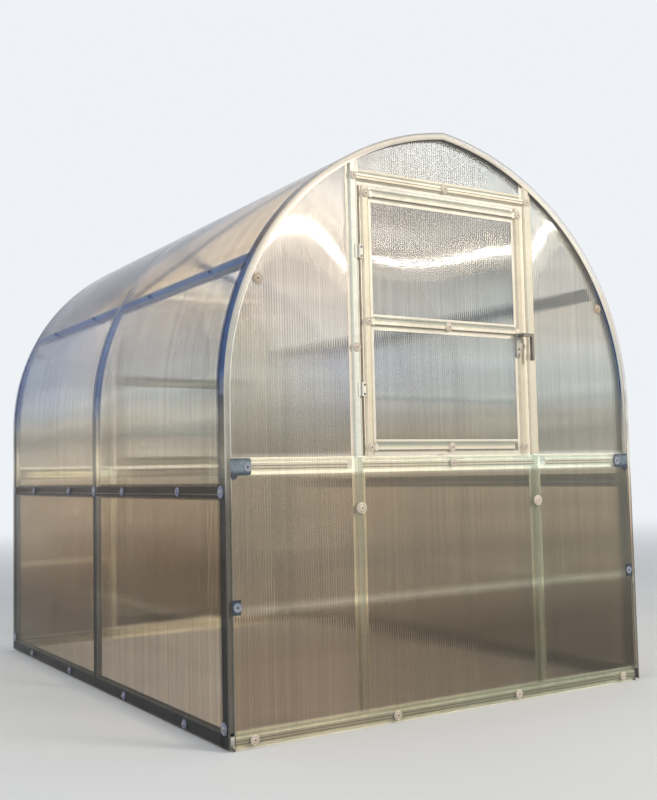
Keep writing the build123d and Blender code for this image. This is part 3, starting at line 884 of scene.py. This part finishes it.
def turned(bm, profile, centre, outward, sides):
    """Adds a turned form to bm: profile is (radius, height) from the rim to the tip,
    seated at centre with its axis pointing outward."""
    turn = Vector(outward).to_track_quat("Z", "Y").to_matrix().to_4x4()
    matrix = Matrix.Translation(centre) @ turn
    rings = []
    for radius, height in profile:
        angles = [2 * math.pi * step / sides for step in range(sides if radius else 1)]
        spots = [Vector((radius * math.cos(a), radius * math.sin(a), height)) for a in angles]
        rings.append([bm.verts.new(matrix @ spot) for spot in spots])
    for lower, upper in zip(rings, rings[1:]):
        for step in range(sides):
            after = (step + 1) % sides
            if len(upper) == 1:
                bm.faces.new((lower[step], lower[after], upper[0]))
            else:
                bm.faces.new((lower[step], lower[after], upper[after], upper[step]))
    bm.faces.new(list(reversed(rings[0])))


def piece(name, bm, material, smooth=True):
    """Turns bm into a named piece that rides on the house."""
    mesh = bpy.data.meshes.new(name)
    bmesh.ops.recalc_face_normals(bm, faces=bm.faces)
    bm.to_mesh(mesh)
    bm.free()
    made = bpy.data.objects.new(name, mesh)
    bpy.context.scene.collection.objects.link(made)
    mesh.materials.append(material)
    if smooth:
        for polygon in mesh.polygons:
            polygon.use_smooth = True
        mesh.set_sharp_from_angle(angle=SHARP_ANGLE)
    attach(made, BODY)
    return made


def fixings(name, places, profile, material, sides=24, seat=0.0, smooth=True, scale=1.0):
    """One piece of equal turned forms at the places, each lifted off them by seat."""
    bm = bmesh.new()
    sized = [(scale * radius, height) for radius, height in profile]
    for place, normal in places:
        turned(bm, sized, Vector(place) + seat * Vector(normal), normal, sides)
    return piece(name, bm, material, smooth=smooth)


def sheet_fixings(name, places, scale=1.0, washer=washer_plastic, screw=screw_brown):
    """Round washers with the seal and the screw in each, as three pieces."""
    fixings(name + "_washers", places, WASHER, washer, sides=WASHER_SIDES, scale=scale)
    fixings(name + "_seals", places, SEAL, washer_seal, sides=WASHER_SIDES, scale=scale)
    fixings(name + "_screws", places, WASHER_SCREW, screw, sides=SCREW_SIDES, seat=WASHER_SEAT)


def plates(name, outline, places, thick, material):
    """One piece of flat plates with bevelled edges: outline is (x, z) about each place,
    which is the point on its back, the sign of X and the sign of Y that it faces."""
    bm = bmesh.new()
    for (px, py, pz), sign_x, sign_y in places:
        back = [bm.verts.new((px + sign_x * x, py, pz + z)) for x, z in outline]
        face = bm.faces.new(back)
        grown = bmesh.ops.extrude_face_region(bm, geom=[face])
        moved = [item for item in grown["geom"] if isinstance(item, bmesh.types.BMVert)]
        bmesh.ops.translate(bm, verts=moved, vec=(0.0, sign_y * thick, 0.0))
    bmesh.ops.recalc_face_normals(bm, faces=bm.faces)
    bmesh.ops.bevel(bm, geom=list(bm.edges), offset=thick * BEVEL_SHARE, segments=2, affect="EDGES")
    return piece(name, bm, material)


# Places of fixings, each as a point and the way it faces

def front(face, *spots):
    """Places at (x, z) spots on the face of the window gable."""
    return [((x, face, z), OUT) for x, z in spots]


def rear(face, *spots):
    """Places at (x, z) spots on the door gable, where the same face is mirrored."""
    return [((x, -face, z), BACK) for x, z in spots]


def left(*spots):
    """Places at (y, z) spots on the left wall."""
    return [((-HALF_WIDTH, y, z), LEFT) for y, z in spots]


def both(x, z):
    """Spots on the left and on the right of a gable."""
    return ((-x, z), (x, z))


def mirrored(places, x=False, y=False):
    """The places and their mirror images, with the normals."""
    out = list(places)
    if x:
        out += [((-px, py, pz), (-nx, ny, nz)) for (px, py, pz), (nx, ny, nz) in out if px != 0.0]
    if y:
        out += [((px, -py, pz), (nx, -ny, nz)) for (px, py, pz), (nx, ny, nz) in out if py != 0.0]
    return out


# Heights and distances of the fixings that no piece of the model gives
BASE_SCREW_Z = 0.028
HIGH_POST_Z = 1.400
LOW_POST_Z = 0.800
FOOT_POST_Z = 0.120
BASE_OUTER_X = 0.900
BASE_INNER_X = 0.300
DOOR_BASE_INNER_X = 0.560
SHOULDER_SPOT = (0.850, 1.629)
SIDE_RAIL_SCREWS_Y = (-0.925, -0.353)
SIDE_BASE_SCREWS_Y = (-0.963, -0.353)
ARCH_BOLT_Y = -1.290
ARCH_FOOT_Z = 0.072
LATCH_BOLT_Z = 1.440

# Round washers that hold the sheets, with the screw in each
shared = front(FRAME_FACE, (0.0, HEADER_Z))
shared += front(LEAF_FACE, (0.0, WINDOW_BOTTOM_Z), (0.0, SASH_RAIL_Z))
shared += front(FRAME_FACE, *both(POST_X, HIGH_POST_Z))
front_only = front(LOWER_SHEET_FACE, (0.0, MID_RAIL_Z))
front_only += front(LOWER_SHEET_FACE, *both(BASE_OUTER_X, BASE_SCREW_Z), *both(BASE_INNER_X, BASE_SCREW_Z))
rear_only = rear(LEAF_FACE, *((0.0, z) for z in DOOR_RAILS))
rear_only += rear(FRAME_FACE, *both(POST_X, LOW_POST_Z), *both(POST_X, FOOT_POST_Z))
rear_only += rear(FRAME_FACE, *both(BASE_OUTER_X, BASE_SCREW_Z), *both(DOOR_BASE_INNER_X, BASE_SCREW_Z))
sheet_fixings("gable", mirrored(shared, y=True) + front_only + rear_only)
sheet_fixings("post", front(LOWER_SHEET_FACE, *both(POST_X, LOW_POST_Z)), scale=1.25, screw=washer_seal)
shoulder = mirrored(front(SIDE_SHEET_FACE, *both(*SHOULDER_SPOT)), y=True)
sheet_fixings("shoulder", shoulder, scale=1.15, washer=washer_glare_brown)

side_washers = left(*((y, SIDE_RAIL_Z) for y in SIDE_RAIL_SCREWS_Y))
side_washers += left(*((y, BASE_SCREW_Z) for y in SIDE_BASE_SCREWS_Y))
side_washers = mirrored(side_washers, x=True, y=True)
fixings("side_washers", side_washers, WASHER, washer_painted_shade, sides=SIDE_WASHER_SIDES)
fixings(
    "side_washer_screws", side_washers, HEX_HEAD, bolt_zinc,
    sides=HEX_SIDES, seat=WASHER_SEAT, smooth=False,
)

arch_bolts = left((ARCH_BOLT_Y, SIDE_RAIL_Z), (0.0, SIDE_RAIL_Z), (ARCH_BOLT_Y, ARCH_FOOT_Z))
arch_bolts = mirrored(arch_bolts, x=True, y=True)
fixings("arch_bolt_washers", arch_bolts, WIDE_WASHER, washer_painted_shade, sides=SIDE_WASHER_SIDES)
fixings("arch_bolts", arch_bolts, DOME_HEAD, bolt_zinc, seat=WIDE_SEAT)

# Screws through the roof sheet into the purlins
PURLIN_SCREWS_Y = (-0.955, -0.353)
PURLIN_SCREW_Z = 1.713
PURLIN_ANGLE = math.asin((PURLIN_SCREW_Z - SPRING_HEIGHT) / SHOULDER_RADIUS)
roof_normal = (-math.cos(PURLIN_ANGLE), 0.0, math.sin(PURLIN_ANGLE))
purlin_screw_x = SHOULDER_RADIUS - HALF_WIDTH + SHOULDER_RADIUS * roof_normal[0]
purlin_screws = [((purlin_screw_x, y, PURLIN_SCREW_Z), roof_normal) for y in PURLIN_SCREWS_Y]
purlin_screws = mirrored(purlin_screws, x=True, y=True)
fixings("purlin_screws", purlin_screws, DOME_HEAD, bracket_zinc, scale=0.7)

# Bolts at the corners of the leaves and at the heads of the posts
corner_bolts = front(LEAF_FACE, *((-STILE_X, z) for z in (WINDOW_BOTTOM_Z, SASH_RAIL_Z, WINDOW_TOP_Z)))
corner_bolts += front(LEAF_FACE, *((STILE_X, z) for z in (WINDOW_BOTTOM_Z, LATCH_BOLT_Z, WINDOW_TOP_Z)))
corner_bolts += front(FRAME_FACE, *both(POST_X, HEADER_Z))
corner_bolts = mirrored(corner_bolts, y=True)
corner_bolts += rear(LEAF_FACE, *((x, z) for x in (STILE_X, -STILE_X) for z in DOOR_RAILS))
sheet_fixings("corner", corner_bolts, scale=0.94)

# Small dark screws in the hinges and the latches
PLATE_THICK = 0.003
HINGE_SCREW_X = -0.4100
HINGE_SCREW_REACH = 0.0175
LATCH_SCREW_IN = 0.011
LATCH_SCREWS_DOWN = (0.093, 0.070)
LEAVES = (("window", front), ("door", rear), ("upper_door", rear))
small_screws = []
for leaf, places_on in LEAVES:
    for hinge in ("_hinge_lower", "_hinge_upper"):
        hinge_z = middle(leaf + hinge).z
        heights = (hinge_z - HINGE_SCREW_REACH, hinge_z + HINGE_SCREW_REACH)
        small_screws += places_on(FRAME_FACE - PLATE_THICK, *((HINGE_SCREW_X, z) for z in heights))
    low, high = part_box(leaf + "_handle")
    spots = ((low[0] + LATCH_SCREW_IN, high[2] - down) for down in LATCH_SCREWS_DOWN)
    small_screws += places_on(LEAF_FACE - PLATE_THICK, *spots)
fixings("small_screws", small_screws, SMALL_SCREW, screw_dark, sides=SCREW_SIDES)

# Brackets where the mid rails meet the arches, and the clips below them
BRACKET = (
    (-0.040, 0.036), (0.034, 0.036), (0.040, 0.030), (0.040, -0.018), (0.032, -0.024), (-0.012, -0.024),
    (-0.018, -0.034), (-0.026, -0.038), (-0.034, -0.036), (-0.040, -0.028),
)
BRACKET_THICK = 0.0025
BRACKET_PLACE = (0.939, 0.953)
BRACKET_BOLT = (0.913, 0.958)
CLIP = ((-0.017, -0.026), (0.017, -0.026), (0.017, 0.026), (-0.017, 0.026))
CLIP_PLACE = (0.964, 0.479)
CLIP_BOLT = (0.960, 0.479)


def plate_pair(face, place, sign_y):
    """Places of a plate on the left and of its mirror image on the right."""
    x, z = place
    return [((-sign * x, face, z), sign, sign_y) for sign in (1.0, -1.0)]


brackets = plate_pair(LOWER_SHEET_FACE, BRACKET_PLACE, -1.0) + plate_pair(-FRAME_FACE, BRACKET_PLACE, 1.0)
plates("mid_rail_brackets", BRACKET, brackets, BRACKET_THICK, plate_zinc)
plates("sheet_clips", CLIP, plate_pair(LOWER_SHEET_FACE, CLIP_PLACE, -1.0), BRACKET_THICK, bracket_zinc)
plate_bolts = front(LOWER_SHEET_FACE, *both(*BRACKET_BOLT))
plate_bolts += rear(FRAME_FACE, *both(*BRACKET_BOLT))
plate_bolts += front(LOWER_SHEET_FACE, *both(*CLIP_BOLT))
fixings(
    "bracket_washers", plate_bolts, WIDE_WASHER, bracket_washer_shade,
    sides=SIDE_WASHER_SIDES, seat=BRACKET_THICK, scale=0.72,
)
BOLT_SEAT = BRACKET_THICK + WIDE_SEAT
fixings("bracket_bolts", plate_bolts, SMALL_SCREW, screw_dark, sides=SCREW_SIDES, seat=BOLT_SEAT)


# Studio

# What the camera, metal and clear sheets see behind the house
BACKDROP = (0.86, 0.89, 0.93)
SKY_COLOUR = (0.86, 0.92, 1.0)
SKY_STRENGTH = 0.52
FLOOR_HALF = 60.0
FLOOR_DROP = 0.001
FLOOR_TONES = ((0.70, 0.70, 0.69), (0.74, 0.74, 0.73))
# The floor fades into the backdrop between these distances from the middle
FADE_REACH = (3.0, 16.0)


def seen_ray(tree):
    """1 for camera, glossy and transmission rays, and 0 for the light that falls on things."""
    path = tree.nodes.new("ShaderNodeLightPath")
    seen = path.outputs["Is Camera Ray"]
    for kind in ("Is Glossy Ray", "Is Transmission Ray"):
        either = tree.nodes.new("ShaderNodeMath")
        either.operation = "MAXIMUM"
        tree.links.new(seen, either.inputs[0])
        tree.links.new(path.outputs[kind], either.inputs[1])
        seen = either.outputs[0]
    return seen


def floor_material():
    """Matt floor that keeps the shadow near the house and fades into the backdrop."""
    shader = Shader("studio_floor")
    shader.into("Base Color", shader.noise(scale=0.4, detail=2.0).blend(FLOOR_TONES, NOISE))
    shader.set(roughness=0.85)
    length = shader.node("VectorMath", operation="LENGTH")
    shader.feed(length.inputs[0], shader.place())
    far = shader.node("MapRange", interpolation_type="SMOOTHSTEP")
    values = (length.outputs["Value"], *FADE_REACH)
    for name, value in zip(("Value", "From Min", "From Max"), values):
        shader.feed(far.inputs[name], value)
    glow = shader.node("Emission")
    shader.feed(glow.inputs["Color"], BACKDROP)
    shader.feed(glow.inputs["Strength"], 1.0)
    fade = shader.node("MixShader")
    shader.feed(fade.inputs[0], Field(shader, far.outputs[0]) * seen_ray(shader.tree))
    shader.feed(fade.inputs[1], shader.principled.outputs[0])
    shader.feed(fade.inputs[2], glow.outputs[0])
    shader.feed(shader.output.inputs["Surface"], fade.outputs[0])
    return shader.material


def studio_floor():
    bm = bmesh.new()
    bmesh.ops.create_grid(bm, x_segments=1, y_segments=1, size=FLOOR_HALF)
    mesh = bpy.data.meshes.new("studio_floor")
    bm.to_mesh(mesh)
    bm.free()
    mesh.materials.append(floor_material())
    made = bpy.data.objects.new("studio_floor", mesh)
    made.location.z = -FLOOR_DROP
    bpy.context.scene.collection.objects.link(made)
    return made


floor = studio_floor()


def background(tree, colour, strength):
    made = tree.nodes.new("ShaderNodeBackground")
    made.inputs["Color"].default_value = (*colour, 1.0)
    made.inputs["Strength"].default_value = strength
    return made.outputs[0]


def studio_world():
    world = bpy.data.worlds.new("studio")
    world.use_nodes = True
    tree = world.node_tree
    tree.nodes.clear()
    output = tree.nodes.new("ShaderNodeOutputWorld")
    mix = tree.nodes.new("ShaderNodeMixShader")
    tree.links.new(seen_ray(tree), mix.inputs[0])
    tree.links.new(background(tree, SKY_COLOUR, SKY_STRENGTH), mix.inputs[1])
    tree.links.new(background(tree, BACKDROP, 1.0), mix.inputs[2])
    tree.links.new(mix.outputs[0], output.inputs[0])
    return world


bpy.context.scene.world = studio_world()


def area_light(name, place, target, size, power, colour):
    data = bpy.data.lights.new(name, "AREA")
    data.shape = "RECTANGLE"
    data.size, data.size_y = size
    data.energy = power
    data.color = colour
    lamp = bpy.data.objects.new(name, data)
    lamp.location = place
    lamp.rotation_euler = (Vector(target) - Vector(place)).to_track_quat("-Z", "Y").to_euler()
    bpy.context.scene.collection.objects.link(lamp)


HOUSE_MIDDLE = (0.0, 0.0, 1.0)
GABLE_MIDDLE = (0.0, -1.3, 1.75)
LOW_SUN = (5.0, -9.05, 3.72)
area_light(
    "key", place=(3.5, -7.5, 5.0), target=HOUSE_MIDDLE, size=(3.0, 3.0),
    power=260.0, colour=(1.0, 0.94, 0.84),
)
area_light(
    "fill", place=(-7.0, -2.0, 4.5), target=HOUSE_MIDDLE, size=(5.0, 4.0),
    power=220.0, colour=(0.95, 0.97, 1.0),
)
area_light(
    "low_sun", place=LOW_SUN, target=GABLE_MIDDLE, size=(1.6, 0.14),
    power=250.0, colour=(1.0, 0.95, 0.86),
)
area_light(
    "low_sun_glow", place=LOW_SUN, target=GABLE_MIDDLE, size=(2.2, 0.7),
    power=70.0, colour=(1.0, 0.82, 0.60),
)


# Camera

def camera_turn():
    """Turn of the camera from its yaw to the right, its pitch upward and its roll."""
    heading = Vector((math.sin(CAMERA_YAW), math.cos(CAMERA_YAW), 0.0))
    forward = math.cos(CAMERA_PITCH) * heading + math.sin(CAMERA_PITCH) * Vector((0.0, 0.0, 1.0))
    level = Vector((math.cos(CAMERA_YAW), -math.sin(CAMERA_YAW), 0.0))
    down = forward.cross(level)
    right = math.cos(CAMERA_ROLL) * level + math.sin(CAMERA_ROLL) * down
    up = math.sin(CAMERA_ROLL) * level - math.cos(CAMERA_ROLL) * down
    return Matrix((right, up, -forward)).transposed().to_4x4()


def photo_camera():
    data = bpy.data.cameras.new("photo_camera")
    data.sensor_width = SENSOR
    data.sensor_fit = "AUTO"
    data.lens = FOCAL_PIXELS / IMAGE_HEIGHT * SENSOR
    data.clip_end = SIGHT
    made = bpy.data.objects.new("photo_camera", data)
    made.matrix_world = Matrix.Translation(CAMERA_PLACE) @ camera_turn()
    bpy.context.scene.collection.objects.link(made)
    return made


bpy.context.scene.camera = photo_camera()

bpy.context.scene.view_settings.view_transform = "Standard"
